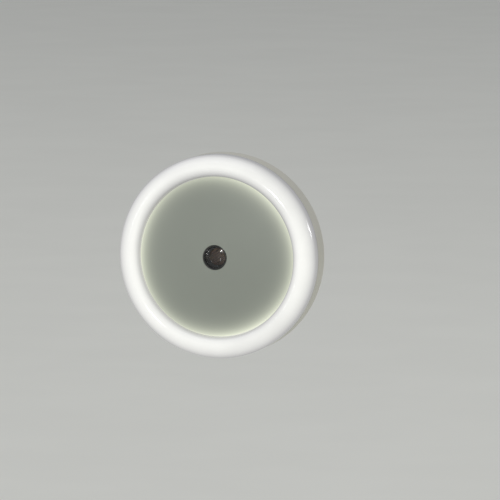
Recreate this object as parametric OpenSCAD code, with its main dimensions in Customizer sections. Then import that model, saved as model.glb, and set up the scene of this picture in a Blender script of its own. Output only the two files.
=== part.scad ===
// Plug-in night light: a round puck on a flat two-pin plug neck.
// A hollow translucent ring glows round a slightly domed face disc, and a light sensor in
// the middle of the disc switches the lamp on at dusk.
//
// World frame: millimetres, +Z up, the face looks along -Y and the pins point along +Y.
// The origin is the middle of the plug's mating face, halfway between the two pins.
// Everything is drawn in a lamp frame: X to the right, Y up, Z forward out of the wall, with
// zero at the plug's mating face. The module lamp() turns that frame into the world frame.

/* [Body] */
// Outer diameter of the ring and of the rear housing
body_d = 62; // [58:1:70]
// Straight side of the rear housing
body_side = 5.5; // [4.5:0.5:9]
// Rounding between the housing's side and its back
back_round = 4; // [3:0.5:5]
// Side wall of the rear housing
shell_wall = 1.6; // [1.4:0.1:1.8]
// Floor of the rear housing
floor_t = 2; // [1.6:0.2:3]
// Width of the ledge that carries the circuit board
ledge_w = 2; // [1.2:0.2:2.6]
// Bevel round the front rim of the housing, which draws a fine line under the ring
rim_bevel = 0.3; // [0.2:0.1:0.5]

/* [Light ring] */
// Radial width of the glowing ring
ring_w = 6.5; // [6:0.1:6.6]
// Radius of the ring's outer rounding
ring_round = 4.1; // [3.9:0.1:4.4]
// Straight side of the ring, from the housing joint to the rounding
ring_side = 2.7; // [2.2:0.1:4]
// Wall of the hollow ring
ring_wall = 1.6; // [1.4:0.1:1.9]
// How far the ring's spigot reaches into the housing
spigot_len = 2; // [1.8:0.1:2.2]
// Wall of the spigot
spigot_wall = 1; // [0.8:0.1:1.1]
// Radius of the snap bead round the spigot
bead_r = 0.25; // [0.15:0.05:0.35]
// Width of the inner lip that the face disc clamps
lip_w = 1.25; // [1.1:0.05:1.4]
// Thickness of that lip
lip_t = 1.2; // [0.8:0.1:1.4]

/* [Face disc] */
// How far the edge of the disc lies below the crest of the ring
disc_recess = 2.9; // [2.2:0.1:3.4]
// Rise of the disc from its edge to its middle
disc_dome = 1.8; // [0.8:0.1:2.4]
// Thickness of the disc
disc_t = 1.6; // [1.2:0.1:2]
// Thickness of the disc's edge, which rests on the ring's lip
disc_edge_t = 1.8; // [1.5:0.1:2.2]
// Visible gap between the disc and the ring
disc_gap = 0.25; // [0.15:0.05:0.4]
// Rounding of the disc's front edge
disc_edge_round = 0.6; // [0.3:0.1:0.9]
// Wall of the skirt behind the disc
skirt_wall = 1.4; // [1:0.1:1.8]

/* [Light sensor] */
// Diameter of the sensor's hole in the disc
sensor_hole_d = 7.6; // [7:0.1:8.4]
// Wall of the black collar at its front
collar_wall = 0.45; // [0.35:0.05:0.6]
// Depth of the collar's front edge below the face
collar_recess = 0.15; // [0.1:0.05:0.3]
// Thickness of the clear window at its edge
window_t = 0.7; // [0.5:0.1:1]
// Rise of the window from its edge to its middle
window_dome = 0.3; // [0.1:0.05:0.4]
// Height of each step inside the collar
collar_step_h = 0.6; // [0.4:0.1:0.7]
// Diameter of the photocell
cell_d = 4.9; // [4:0.1:5.1]
// Thickness of the photocell
cell_t = 1.6; // [1.2:0.1:2]
// Width of the photocell's sensing track
track_w = 0.3; // [0.2:0.05:0.35]
// Height of that track
track_t = 0.08; // [0.05:0.01:0.12]
// Distance between the photocell's two leads
cell_pitch = 3.4; // [2.6:0.1:3.6]

/* [Plug] */
// Width of the plug neck
neck_w = 35.3; // [34.6:0.1:36]
// Height of the plug neck
neck_h = 13.7; // [13:0.1:14.4]
// Width of the flat on the top and bottom of the neck
neck_flat_w = 26; // [24:0.5:27]
// Rounding of the neck's corners
neck_round = 2.2; // [1.5:0.1:3]
// Length of the neck, from the mating face to the back of the housing
neck_len = 26.8; // [25:0.2:32]
// Wall of the hollow neck
neck_wall = 2; // [1.6:0.1:2.2]
// Solid end of the neck that holds the pins
neck_end = 6; // [5:0.5:8]
// Thickness of the neck's end in front of the pin collars
pin_seat = 3; // [2:0.5:3.5]
// Distance between the two pins
pin_spacing = 19; // [18:0.1:19.4]
// Length of a pin, from the mating face to its tip
pin_len = 19; // [18:0.5:20]
// Diameter of a pin's bare end
pin_d = 4; // [3.9:0.02:4.06]
// Rounding of a pin's tip
pin_tip_round = 1.2; // [0.8:0.1:1.6]
// Diameter of a pin's shank inside its sleeve
shank_d = 2.8; // [2.6:0.1:3]
// Length of the insulating sleeve
sleeve_len = 10; // [9:0.5:11]
// Outer diameter of the sleeve
sleeve_d = 3.6; // [3.4:0.05:3.8]
// How far the sleeve's root reaches into the neck's end
sleeve_root = 1.5; // [1:0.1:1.8]
// Diameter of a pin's collar
pin_collar_d = 5; // [4.6:0.1:5.4]
// Diameter of a pin's solder tail
tail_d = 2.4; // [2.2:0.1:2.6]
// Length of that tail
tail_len = 8; // [6:0.5:9]
// Depth of the solder cup in the tail
cup_depth = 3; // [2:0.5:3.5]
// Thickness of the plate that clamps the pins
clamp_t = 2; // [1.6:0.1:2.6]

/* [Circuit board] */
// Thickness of the board
board_t = 1.2; // [1:0.2:1.6]
// Height of the board above the housing's floor
board_standoff = 3.2; // [3:0.1:3.6]
// Number of LEDs under the ring
led_count = 12; // [6:1:16]
// Length of an LED along the ring
led_l = 3; // [2.4:0.1:3.2]
// Width of an LED across the ring
led_w = 1.4; // [1.1:0.1:1.4]
// Height of an LED
led_h = 0.7; // [0.5:0.05:0.75]
// Width of the dropper capacitor
drop_cap_w = 13; // [11:0.5:13]
// Thickness of the dropper capacitor
drop_cap_t = 5; // [4:0.5:6]
// Height of the dropper capacitor
drop_cap_h = 11; // [9:0.5:12]
// Distance between the dropper capacitor's leads
drop_cap_pitch = 10; // [7.5:0.5:10]
// Diameter of the smoothing capacitor
smooth_cap_d = 4; // [3:0.5:5]
// Height of the smoothing capacitor with its base
smooth_cap_h = 5.4; // [4.5:0.1:5.6]
// Diameter of a component's lead
lead_d = 0.6; // [0.5:0.05:0.7]
// How far leads stand out of the board
lead_out = 0.8; // [0.6:0.1:1]
// Outer diameter of a mains wire
wire_d = 2; // [1.6:0.1:2.2]
// Diameter of the wire's core
core_d = 1; // [0.8:0.1:1.1]
// How far each wire steps outwards on its way to the board
wire_shift = 3; // [2.2:0.1:3.2]

/* [Screws] */
// Distance of the housing screws from the middle of the lamp
screw_r = 20.3; // [20:0.1:20.5]
// Diameter of a housing screw
screw_d = 2.2; // [2:0.1:2.6]
// Diameter of a housing screw's head
screw_head_d = 4.4; // [4:0.1:4.8]
// Height of a housing screw's head
screw_head_h = 1.8; // [1.4:0.1:2]
// Depth of the recess that takes the head
screw_recess = 2.2; // [2:0.1:2.6]
// Length of a housing screw below its head
screw_len = 8.6; // [7:0.2:8.8]
// Width of the cross-shaped screwdriver slot
slot_w = 0.6; // [0.4:0.1:0.7]

/* [Fits] */
// Play all round a part that drops into another
fit_gap = 0.1; // [0.08:0.01:0.15]
// Play round a pin, wire or lead in its hole
hole_gap = 0.05; // [0.03:0.01:0.08]
// Play between a board part and its neighbour
board_gap = 0.4; // [0.2:0.1:0.5]

/* [Hidden] */
$fn = 96;

// How far a cutter reaches past the face that it cuts
cut = 1;

// Smallest rounding left inside the hollow neck
least_round = 0.2;

// Places along the lamp's axis, counted forward from the plug's mating face
z_back = neck_len;
z_side = z_back + back_round;
z_joint = z_side + body_side;
z_wide = z_joint + ring_side;
z_crest = z_wide + ring_round;
z_floor = z_back + floor_t;
z_board = z_floor + board_standoff;
z_parts = z_board + board_t;
z_tail = z_joint - spigot_len;
z_disc_edge = z_crest - disc_recess;
z_face = z_disc_edge + disc_dome;
z_lip = z_disc_edge - disc_edge_t;

// Radii
body_r = body_d / 2;
crest_r = body_r - ring_round;
ring_in_r = body_r - ring_w;
ring_in_round = crest_r - ring_in_r;
bore_r = body_r - shell_wall;
ledge_r = bore_r - ledge_w;
spigot_r = bore_r - fit_gap;
spigot_in_r = spigot_r - spigot_wall;
spigot_root = 1;
channel_r = body_r - ring_wall;
led_r = (crest_r + spigot_in_r) / 2;
board_r = bore_r - board_gap;
disc_r = ring_in_r - disc_gap;
lip_r = ring_in_r - lip_w;
skirt_r = lip_r - fit_gap;
dome_r = (disc_r * disc_r + disc_dome * disc_dome) / (2 * disc_dome);
dome_end_r = disc_r - disc_edge_round;
dome_steps = 24;
edge_steps = 6;

// Sensor
collar_r = sensor_hole_d / 2 - hole_gap;
window_r = collar_r - collar_wall - hole_gap;
window_seat = 0.35;
collar_steps = 3;
collar_in_r = collar_r - collar_wall - window_seat;
z_collar = z_face - collar_recess;
z_window = z_collar - window_dome - window_t;
cell_r = cell_d / 2;
cell_bore_r = cell_r + hole_gap;
collar_step = (collar_in_r - cell_bore_r) / collar_steps;
z_cell = z_window - collar_steps * collar_step_h - cell_t;
cell_foot_h = 0.8;
track_turns = 5;
track_margin = 0.5;
track_reach = cell_r - track_margin;
track_pitch = 2 * (track_reach - track_w / 2) / track_turns;

// Holes and seats for the pins, wires, screws and leads
pin_x = pin_spacing / 2;
wire_x = pin_x + wire_shift;
wire_lead_in = 2;
wire_curve_h = 9;
wire_rings = 12;
wire_sides = 12;
wire_probe = 0.01;
z_tail_end = neck_end + tail_len;
wire_end_gap = 0.2;
z_wire = z_tail_end + wire_end_gap;
z_wire_end = z_board - wire_end_gap;
pin_collar_gap = 0.1;
screw_angles = [90, 210, 330];
boss_wall = 1.1;
boss_r = screw_head_d / 2 + boss_wall;
disc_boss_wall = 1.5;
disc_boss_r = screw_d / 2 + disc_boss_wall;
screw_tip_gap = 0.3;
clamp_screw_d = 1.8;
clamp_screw_head_d = 3.4;
clamp_screw_head_h = 1.2;
clamp_screw_len = 5;
slot_depth = 0.7;
slot_l = 2.4;
screw_tip_r = 0.3;

// Board parts: middle of each in the plane of the board
smooth_cap_at = [0, -11];
rectifier_at = [0, -12];
rectifier_size = [4.6, 3.8, 2.2];
rectifier_pitch = 2.5;
leg_t = 0.25;
leg_w = 0.6;
leg_out = 0.9;
fuse_at = [0, 12];
fuse_d = 2.2;
fuse_waist_d = 1.9;
fuse_l = 6.4;
fuse_end_l = 1.4;
fuse_pitch = 10;
fuse_root = 0.8;
lead_bend_r = 0.7;
fuse_z = z_board - fuse_d / 2 - board_gap / 2;
transistor_at = [-9, 8];
transistor_size = [2.9, 1.3, 1];
transistor_legs = [[-0.95, -1], [0.95, -1], [0, 1]];
transistor_leg_w = 0.4;
zener_at = [9, 8];
zener_d = 1.5;
zener_l = 3.5;
zener_cap_l = 0.5;
zener_glass_d = 1.34;
chip_size = [3.2, 1.6, 0.55];
chip_places = [[-17, 3], [-17, -1], [17, 3], [17, -1], [-7, -8], [7, -8]];
board_hole_gap = 0.15;
hole_r = lead_d / 2 + board_hole_gap;
wire_hole_r = core_d / 2 + board_hole_gap;
board_screw_r = screw_d / 2 + board_hole_gap;
solder_h = 0.5;
solder_r = 0.95;
solder_top_r = 0.65;

// Capacitors: the dropper hangs just clear of the photocell's leads behind the board
drop_cap_top = z_board - lead_out - fit_gap;
cap_lead_root = 1.5;
smooth_base_h = 0.5;
smooth_base_w = smooth_cap_d + 0.4;
can_round = 0.3;

// LED cup
led_rim = 0.2;
led_cup = 0.3;

// The lamp frame, turned so that its Z points along the world's -Y
module lamp() { rotate([90, 0, 0]) children(); }

// A tube or disc on the lamp's axis
module tube(r_out, r_in, z_from, z_to) {
  translate([0, 0, z_from]) difference() {
    cylinder(r = r_out, h = z_to - z_from);
    if (r_in > 0) translate([0, 0, -cut]) cylinder(r = r_in, h = z_to - z_from + 2 * cut);
  }
}

// A quarter of a disc in a revolved section, its corner at the disc's centre
module quarter(r, x, y, outward) {
  translate([x, y]) intersection() {
    circle(r = r);
    translate([outward ? 0 : -r - cut, 0]) square([r + cut, r + cut]);
  }
}

// A rectangle in a revolved section, from one corner to the other
module block(x_from, x_to, y_from, y_to) {
  translate([x_from, y_from]) square([x_to - x_from, y_to - y_from]);
}

// Flattened hexagon of the plug neck with rounded corners, drawn `inset` inside its outline
module neck_profile(inset) {
  half_w = neck_w / 2;
  half_h = neck_h / 2;
  half_flat = neck_flat_w / 2;
  r = max(neck_round - inset, least_round);
  in = inset + r;
  slope = atan2(half_h, half_w - half_flat);
  // Corner centres of the hexagon moved in by `in`
  side_x = half_w - in / sin(slope);
  top_x = half_flat - in * tan(slope / 2);
  top_y = half_h - in;
  corners = [[side_x, 0], [top_x, top_y], [-top_x, top_y],
             [-side_x, 0], [-top_x, -top_y], [top_x, -top_y]];
  // Unit normals of the six sides, each side running from one corner to the next
  normals = [[sin(slope), cos(slope)], [0, 1], [-sin(slope), cos(slope)],
             [-sin(slope), -cos(slope)], [0, -1], [sin(slope), -cos(slope)]];
  polygon([for (i = [0:5]) for (c = [i, (i + 1) % 6]) corners[c] + r * normals[i]]);
  for (c = corners) translate(c) circle(r = r, $fn = 48);
}

module neck_solid(inset, z_from, z_to) {
  translate([0, 0, z_from]) linear_extrude(height = z_to - z_from) neck_profile(inset);
}

// Copies round the lamp's axis at the housing screws
module at_screws() {
  for (a = screw_angles) rotate(a) translate([screw_r, 0, 0]) children();
}

// Copies at each LED, with X across the ring
module at_leds() {
  for (i = [0:led_count - 1]) rotate((i + 0.5) * 360 / led_count)
    translate([led_r, 0, z_parts]) children();
}

// Rounded pot with a plug neck: the back half of the lamp
module rear_housing() {
  color("#d9d8cb") lamp() difference() {
    union() {
      rotate_extrude() union() {
        block(0, body_r - back_round, z_back, z_side);
        block(0, body_r, z_side, z_joint - rim_bevel);
        block(0, body_r - rim_bevel, z_side, z_joint);
        translate([body_r - back_round, z_side]) intersection() {
          circle(r = back_round);
          translate([0, -back_round]) square([back_round, back_round + cut]);
        }
        translate([body_r - rim_bevel, z_joint - rim_bevel])
          polygon([[0, 0], [rim_bevel, 0], [0, rim_bevel]]);
      }
      neck_solid(0, 0, z_back + cut);
    }
    difference() {
      tube(ledge_r, 0, z_floor, z_joint + cut);
      at_screws() tube(boss_r, 0, z_floor - cut, z_board);
    }
    tube(bore_r, 0, z_board, z_joint + cut);
    rotate_extrude() translate([spigot_r, z_joint - spigot_len / 2]) circle(r = bead_r + fit_gap);
    neck_solid(neck_wall, neck_end, z_floor + cut / 2);
    for (side = [-1, 1]) translate([side * pin_x, 0, 0]) {
      tube(sleeve_d / 2 + hole_gap, 0, -cut, sleeve_root);
      tube(shank_d / 2 + hole_gap, 0, -cut, pin_seat + cut);
      tube(pin_collar_d / 2 + hole_gap, 0, pin_seat, neck_end + cut);
    }
    tube(clamp_screw_d / 2 + hole_gap, 0,
         neck_end + clamp_t - clamp_screw_len - screw_tip_gap, neck_end + cut);
    at_screws() {
      tube(screw_head_d / 2 + fit_gap, 0, z_back - cut, z_back + screw_recess);
      tube(screw_d / 2 + hole_gap, 0, z_back, z_board + cut);
    }
  }
}

// Hollow translucent ring, open towards the LEDs, with a spigot and a clamping lip
module light_ring() {
  color("#fbfbf7") lamp() rotate_extrude() difference() {
    union() {
      block(crest_r, body_r, z_joint, z_wide);
      quarter(ring_round, crest_r, z_wide, true);
      quarter(ring_in_round, crest_r, z_crest - ring_in_round, false);
      block(ring_in_r, crest_r, z_tail, z_crest - ring_in_round);
      block(spigot_in_r, spigot_r, z_tail, z_joint + spigot_root);
      translate([spigot_r, z_joint - spigot_len / 2]) circle(r = bead_r);
      block(lip_r, crest_r, z_lip - lip_t, z_lip);
    }
    quarter(ring_round - ring_wall, crest_r, z_wide, true);
    block(crest_r, channel_r, z_joint + spigot_root, z_wide);
    block(crest_r, spigot_in_r, z_tail - cut, z_joint + spigot_root + cut);
  }
}

// Height of the disc's front surface at a distance from the middle
function face_z(r) = z_face - dome_r + sqrt(dome_r * dome_r - r * r);

// Domed front with its sensor hole, locating skirt and three screw bosses
module face_disc() {
  color("#cfd2c6") lamp() difference() {
    union() {
      rotate_extrude() {
        polygon(concat(
          [for (i = [0:dome_steps]) [i * dome_end_r / dome_steps,
                                     face_z(i * dome_end_r / dome_steps)]],
          [for (i = [1:edge_steps]) let (a = 90 * i / edge_steps)
            [dome_end_r + disc_edge_round * sin(a),
             face_z(dome_end_r) - disc_edge_round * (1 - cos(a))]],
          [[disc_r, z_lip], [skirt_r - skirt_wall, z_lip]],
          [for (i = [dome_steps:-1:0]) [i * (skirt_r - skirt_wall) / dome_steps,
                       face_z(i * (skirt_r - skirt_wall) / dome_steps) - disc_t]]
        ));
        block(skirt_r - skirt_wall, skirt_r, z_parts + board_gap, z_lip + cut / 2);
      }
      at_screws() tube(disc_boss_r, 0, z_parts + fit_gap,
                       face_z(screw_r + disc_boss_r) - disc_t / 3);
    }
    tube(sensor_hole_d / 2, 0, z_parts, z_face + cut);
    at_screws() tube(screw_d / 2 + hole_gap / 2, 0, z_parts,
                     z_back + screw_recess + screw_len + screw_tip_gap);
  }
}

// Black tube with a stepped bore that keeps the ring's own light off the photocell
module sensor_collar() {
  color("#161714") lamp() difference() {
    tube(collar_r, 0, z_parts, z_collar);
    tube(window_r + hole_gap, 0, z_window, z_collar + cut);
    for (i = [0:collar_steps - 1])
      tube(collar_in_r - i * collar_step, 0, z_window - (i + 1) * collar_step_h, z_window + cut / 4);
    tube(cell_bore_r, 0, z_parts - cut, z_window);
  }
}

window_curve_r = (window_r * window_r + window_dome * window_dome) / (2 * window_dome);

// Clear window over the photocell, a little domed
module sensor_window() {
  color("#9fb0ad", 0.4) lamp() union() {
    tube(window_r, 0, z_window, z_window + window_t);
    intersection() {
      tube(window_r, 0, z_window, z_window + window_t + window_dome);
      translate([0, 0, z_window + window_t + window_dome - window_curve_r])
        sphere(r = window_curve_r, $fn = 200);
    }
  }
}

// Light-sensitive cell: a ceramic disc on two leads
module photocell_body() {
  color("#8a7a66") lamp() difference() {
    tube(cell_r, 0, z_cell, z_cell + cell_t);
    for (side = [-1, 1]) translate([side * cell_pitch / 2, 0, 0])
      tube(lead_d / 2 + hole_gap, 0, z_cell - cut, z_cell + cell_foot_h);
  }
}

// Height of a run of the sensing track on the cell's face, and half the run's length
function track_y(i) = (i + 0.5 - track_turns / 2) * track_pitch;
function track_half(i) = sqrt(max(track_reach * track_reach - track_y(i) * track_y(i), 0));

// Serpentine sensing track on the face of the cell
module photocell_track() {
  color("#6e3a2c") lamp() translate([0, 0, z_cell + cell_t]) linear_extrude(height = track_t) {
    for (i = [0:track_turns - 1])
      translate([-track_half(i), track_y(i) - track_w / 2]) square([2 * track_half(i), track_w]);
    for (i = [0:track_turns - 2]) {
      x = min(track_half(i), track_half(i + 1)) - track_w;
      translate([i % 2 == 0 ? x : -x - track_w, track_y(i) - track_w / 2])
        square([track_w, track_pitch + track_w]);
    }
  }
}

// The cell's two leads, from its back through the board
module photocell_leads() {
  color("#b9bcc0") lamp() for (side = [-1, 1]) translate([side * cell_pitch / 2, 0, 0])
    tube(lead_d / 2, 0, z_board - lead_out, z_cell + cell_foot_h - hole_gap);
}

// Round board with holes for every lead, wire and screw
module circuit_board() {
  color("#2f6b45") lamp() difference() {
    tube(board_r, 0, z_board, z_parts);
    at_screws() tube(board_screw_r, 0, z_board - cut, z_parts + cut);
    for (side = [-1, 1]) {
      translate([side * cell_pitch / 2, 0, 0]) tube(hole_r, 0, z_board - cut, z_parts + cut);
      translate([side * wire_x, 0, 0]) tube(wire_hole_r, 0, z_board - cut, z_parts + cut);
      translate([side * drop_cap_pitch / 2, 0, 0]) tube(hole_r, 0, z_board - cut, z_parts + cut);
      translate([fuse_at[0] + side * fuse_pitch / 2, fuse_at[1], 0])
        tube(hole_r, 0, z_board - cut, z_parts + cut);
    }
  }
}

// Small white LED bodies with a cup for the phosphor
module led_packages() {
  color("#f2f0e6") lamp() at_leds() difference() {
    translate([-led_w / 2, -led_l / 2, 0]) cube([led_w, led_l, led_h]);
    translate([-led_w / 2 + led_rim, -led_l / 2 + led_rim, led_h - led_cup])
      cube([led_w - 2 * led_rim, led_l - 2 * led_rim, led_cup + cut]);
  }
}

// Yellow phosphor in each LED's cup
module led_phosphors() {
  color("#f4dc7a") lamp() at_leds()
    translate([-led_w / 2 + led_rim, -led_l / 2 + led_rim, led_h - led_cup])
      cube([led_w - 2 * led_rim, led_l - 2 * led_rim, led_cup - hole_gap]);
}

// Film capacitor that drops the mains voltage; it hangs from the board into the neck
module dropper_capacitor() {
  color("#d8b23c") lamp()
    translate([-drop_cap_w / 2, -drop_cap_t / 2, drop_cap_top - drop_cap_h]) difference() {
      cube([drop_cap_w, drop_cap_t, drop_cap_h]);
      for (side = [-1, 1]) translate([drop_cap_w / 2 + side * drop_cap_pitch / 2,
                                      drop_cap_t / 2, drop_cap_h - cap_lead_root])
        cylinder(r = lead_d / 2 + hole_gap, h = cap_lead_root + cut);
    }
}

module dropper_capacitor_leads() {
  color("#b9bcc0") lamp() for (side = [-1, 1])
    translate([side * drop_cap_pitch / 2, 0, 0])
      tube(lead_d / 2, 0, drop_cap_top - cap_lead_root + hole_gap, z_parts + lead_out);
}

// Aluminium can that smooths the supply to the LEDs
module smoothing_capacitor() {
  h = smooth_cap_h - smooth_base_h;
  r = smooth_cap_d / 2;
  color("#c3c6c8") lamp() translate([smooth_cap_at[0], smooth_cap_at[1], z_parts + smooth_base_h])
    rotate_extrude() union() {
      block(0, r - can_round, 0, h);
      block(0, r, 0, h - can_round);
      quarter(can_round, r - can_round, h - can_round, true);
    }
}

module smoothing_capacitor_base() {
  color("#26272a") lamp() translate([smooth_cap_at[0] - smooth_base_w / 2,
                                     smooth_cap_at[1] - smooth_base_w / 2, z_parts])
    cube([smooth_base_w, smooth_base_w, smooth_base_h]);
}

// Bridge rectifier, under the board
module rectifier_body() {
  color("#1d1e20") lamp() translate([rectifier_at[0] - rectifier_size[0] / 2,
                                     rectifier_at[1] - rectifier_size[1] / 2,
                                     z_board - leg_t - rectifier_size[2]])
    cube(rectifier_size);
}

module rectifier_legs() {
  color("#b9bcc0") lamp() for (sx = [-1, 1], sy = [-1, 1])
    translate([rectifier_at[0] + sx * rectifier_pitch / 2 - leg_w / 2,
               rectifier_at[1] + (sy > 0 ? rectifier_size[1] / 2 - leg_out
                                         : -rectifier_size[1] / 2 - leg_out),
               z_board - leg_t])
      cube([leg_w, 2 * leg_out, leg_t]);
}

// Safety resistor that melts open if the supply fails, under the board
module fusible_resistor() {
  color("#5f86a8") lamp() translate([fuse_at[0], fuse_at[1], fuse_z]) rotate([0, 90, 0])
    difference() {
      union() {
        translate([0, 0, -fuse_l / 2]) cylinder(r = fuse_waist_d / 2, h = fuse_l);
        for (side = [-1, 1]) translate([0, 0, side * (fuse_l - fuse_end_l) / 2 - fuse_end_l / 2])
          cylinder(r = fuse_d / 2, h = fuse_end_l);
      }
      for (side = [-1, 1]) translate([0, 0, side * fuse_l / 2 - fuse_root])
        cylinder(r = lead_d / 2 + hole_gap, h = 2 * fuse_root);
    }
}

// One lead: out of the resistor's end, round a bend and up through the board
module fusible_resistor_leads() {
  straight = (fuse_pitch - fuse_l) / 2 - lead_bend_r;
  color("#b9bcc0") lamp() translate([fuse_at[0], fuse_at[1], fuse_z])
    for (turn = [0, 180]) rotate(turn) translate([fuse_l / 2, 0, 0]) {
      translate([-fuse_root + hole_gap, 0, 0]) rotate([0, 90, 0])
        cylinder(r = lead_d / 2, h = straight + fuse_root - hole_gap);
      translate([straight, 0, lead_bend_r]) rotate([90, 0, 0]) rotate([0, 0, -90])
        rotate_extrude(angle = 90) translate([lead_bend_r, 0]) circle(r = lead_d / 2, $fn = 24);
      translate([straight + lead_bend_r, 0, lead_bend_r])
        cylinder(r = lead_d / 2, h = z_parts + lead_out - fuse_z - lead_bend_r);
    }
}

module chip_resistors() {
  color("#2b2b2e") lamp() for (p = chip_places)
    translate([p[0] - chip_size[0] / 2, p[1] - chip_size[1] / 2, z_parts]) cube(chip_size);
}

// Transistor that switches the LEDs, with its three legs
module driver_transistor() {
  s = transistor_size;
  color("#1d1e20") lamp() translate([transistor_at[0], transistor_at[1], z_parts]) {
    translate([-s[0] / 2, -s[1] / 2, leg_t]) cube(s);
    for (leg = transistor_legs)
      translate([leg[0] - transistor_leg_w / 2, leg[1] * s[1] / 2 - leg_w, 0])
        cube([transistor_leg_w, 2 * leg_w, leg_t]);
  }
}

// Glass diode that sets the supply voltage, with its two end caps
module zener_diode() {
  color("#c46a3c") lamp() translate([zener_at[0] - zener_l / 2, zener_at[1], z_parts + zener_d / 2])
    rotate([0, 90, 0]) union() {
      cylinder(r = zener_glass_d / 2, h = zener_l);
      cylinder(r = zener_d / 2, h = zener_cap_l);
      translate([0, 0, zener_l - zener_cap_l]) cylinder(r = zener_d / 2, h = zener_cap_l);
    }
}

// A cone of solder round one lead, standing on the board along +Z
module solder(hole) {
  difference() {
    cylinder(r1 = solder_r, r2 = solder_top_r, h = solder_h);
    translate([0, 0, -cut]) cylinder(r = hole, h = solder_h + 2 * cut);
  }
}

// Solder on the board: in front for the parts that hang behind it, behind for the photocell
module solder_joints() {
  lead_hole = lead_d / 2 + hole_gap;
  color("#c9ccd0") lamp() {
    for (side = [-1, 1]) {
      translate([side * wire_x, 0, z_parts]) solder(core_d / 2 + hole_gap);
      translate([side * drop_cap_pitch / 2, 0, z_parts]) solder(lead_hole);
      translate([fuse_at[0] + side * fuse_pitch / 2, fuse_at[1], z_parts]) solder(lead_hole);
      translate([side * cell_pitch / 2, 0, z_board]) mirror([0, 0, 1]) solder(lead_hole);
    }
  }
}

// A round plug pin with a rounded tip, a collar behind the neck's end and a solder cup
module plug_pin(side) {
  tip_r = pin_d / 2;
  color("#c9c4b4") lamp() translate([side * pin_x, 0, 0]) difference() {
    union() {
      rotate_extrude() union() {
        block(0, tip_r, -pin_len + pin_tip_round, -sleeve_len);
        block(0, tip_r - pin_tip_round, -pin_len, -sleeve_len);
        translate([tip_r - pin_tip_round, -pin_len + pin_tip_round]) intersection() {
          circle(r = pin_tip_round);
          translate([0, -pin_tip_round]) square(pin_tip_round);
        }
      }
      tube(shank_d / 2, 0, -sleeve_len - cut / 2, pin_seat + cut / 2);
      tube(pin_collar_d / 2, 0, pin_seat, neck_end - pin_collar_gap / 2);
      tube(tail_d / 2, 0, neck_end - cut, z_tail_end);
    }
    tube(core_d / 2 + hole_gap, 0, z_tail_end - cup_depth, z_tail_end + cut);
  }
}
module plug_pin_left() { plug_pin(-1); }
module plug_pin_right() { plug_pin(1); }

// Insulating sleeve round the root of a pin, let into the neck's end
module pin_sleeve(side) {
  color("#e4e3da") lamp() translate([side * pin_x, 0, 0])
    tube(sleeve_d / 2, shank_d / 2 + hole_gap, -sleeve_len, sleeve_root);
}
module pin_sleeve_left() { pin_sleeve(-1); }
module pin_sleeve_right() { pin_sleeve(1); }

// Plate that holds both pin collars down in the end of the neck
module pin_clamp() {
  color("#a9aaa4") lamp() difference() {
    neck_solid(neck_wall + fit_gap, neck_end, neck_end + clamp_t);
    for (side = [-1, 1]) translate([side * pin_x, 0, 0])
      tube(tail_d / 2 + fit_gap, 0, neck_end - cut, neck_end + clamp_t + cut);
    tube(clamp_screw_d / 2 + hole_gap, 0, neck_end - cut, neck_end + clamp_t + cut);
  }
}

// A screw on the lamp's axis with its head towards +Z, its seat at z = 0
module screw(d, len, head_d, head_h) {
  rise = head_h / 2;
  difference() {
    union() {
      rotate_extrude() union() {
        block(0, head_d / 2, 0, rise);
        block(0, head_d / 2 - rise, 0, head_h);
        quarter(rise, head_d / 2 - rise, rise, true);
      }
      translate([0, 0, -len + d / 2]) cylinder(r = d / 2, h = len - d / 2 + rise / 2);
      translate([0, 0, -len]) cylinder(r1 = screw_tip_r, r2 = d / 2, h = d / 2);
    }
    for (a = [0, 90]) rotate(a)
      translate([-slot_l / 2, -slot_w / 2, head_h - slot_depth])
        cube([slot_l, slot_w, slot_depth + cut]);
  }
}

module clamp_screw() {
  color("#8f9194") lamp() translate([0, 0, neck_end + clamp_t])
    screw(clamp_screw_d, clamp_screw_len, clamp_screw_head_d, clamp_screw_head_h);
}

module housing_screws() {
  color("#8f9194") lamp() at_screws() translate([0, 0, z_back + screw_recess]) mirror([0, 0, 1])
    screw(screw_d, screw_len, screw_head_d, screw_head_h);
}

// Sideways place of a mains wire at a height: straight up from the pin, over in a smooth
// curve and straight again to its hole in the board
function wire_turn(z) = min(max((z - z_wire - wire_lead_in) / wire_curve_h, 0), 1);
function wire_at(z) = [pin_x + wire_shift * (1 - cos(180 * wire_turn(z))) / 2, z];

// Heights of the rings that make up a wire, on one grid so that core and cover match
function wire_heights(from, to) = concat(
  [from],
  [for (i = [0:wire_rings]) let (z = z_wire + wire_lead_in + i * wire_curve_h / wire_rings)
    if (z > from + wire_probe && z < to - wire_probe) z],
  [to]
);

// One ring of points round the wire, square to its route
function wire_ring(z, r) = let (
    step = wire_probe,
    along = wire_at(z + step) - wire_at(z - step),
    n = [along[1], -along[0]] / norm(along),
    c = wire_at(z)
  ) [for (k = [0:wire_sides - 1]) let (a = k * 360 / wire_sides)
      [c[0] + r * cos(a) * n[0], r * sin(a), c[1] + r * cos(a) * n[1]]];

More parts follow.
